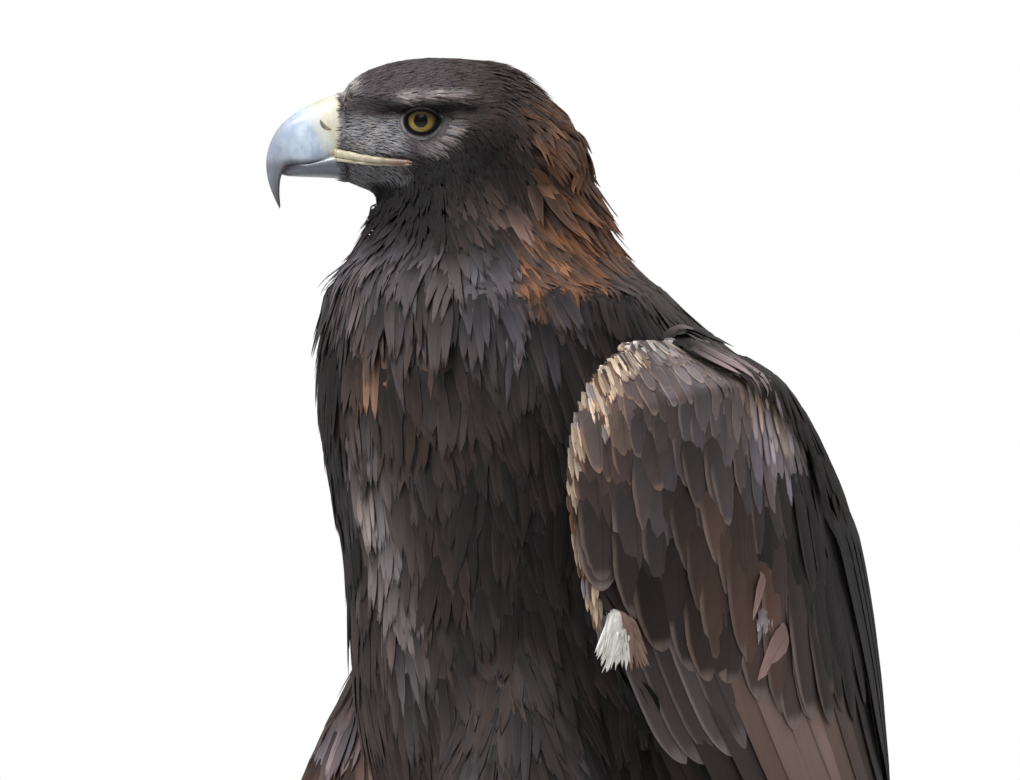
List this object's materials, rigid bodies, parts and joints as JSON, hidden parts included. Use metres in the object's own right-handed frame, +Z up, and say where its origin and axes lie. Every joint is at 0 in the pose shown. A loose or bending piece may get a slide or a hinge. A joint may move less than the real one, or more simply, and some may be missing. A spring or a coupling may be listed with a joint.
{
  "type": "golden eagle",
  "caption": "Life-size golden eagle as a still display model, standing on both feet with wings folded, tail lowered to the floor and head turned to its right.",
  "frame": {"origin": "on the floor under the middle of the whole bird's box", "axes": "+Z up; the body faces -Y, so +X is the bird's left; the head is turned 35 degrees to its right"},
  "size_m": [0.2294, 0.433, 0.6152],
  "materials": {
    "plumage": "dark brown body feathers with a soft grey sheen",
    "hackle": "golden brown pointed neck feathers",
    "wing": "brown wing feathers with paler edges",
    "tail": "dark brown tail feathers",
    "tarsus": "short brown feathers down to the toes",
    "horn": "smooth blue-grey bill horn",
    "cere": "smooth pale yellow skin",
    "eye": "wet amber eye with a black pupil",
    "toe": "yellow scaled skin",
    "claw": "black polished horn"
  },
  "bodies": {
    "root": {"bill_lower": "horn", "bill_upper": "horn", "cere": "cere", "claw_left_hind": "claw", "claw_left_inner": "claw", "claw_left_middle": "claw", "claw_left_outer": "claw", "claw_right_hind": "claw", "claw_right_inner": "claw", "claw_right_middle": "claw", "claw_right_outer": "claw", "eye_left": "eye", "eye_right": "eye", "foot_left": "toe", "foot_right": "toe", "head": "plumage", "neck": "hackle", "tail": "tail", "tarsus_left": "tarsus", "tarsus_right": "tarsus", "thigh_left": "plumage", "thigh_right": "plumage", "torso": "plumage", "wing_left": "wing", "wing_right": "wing"}
  },
  "joints": []
}
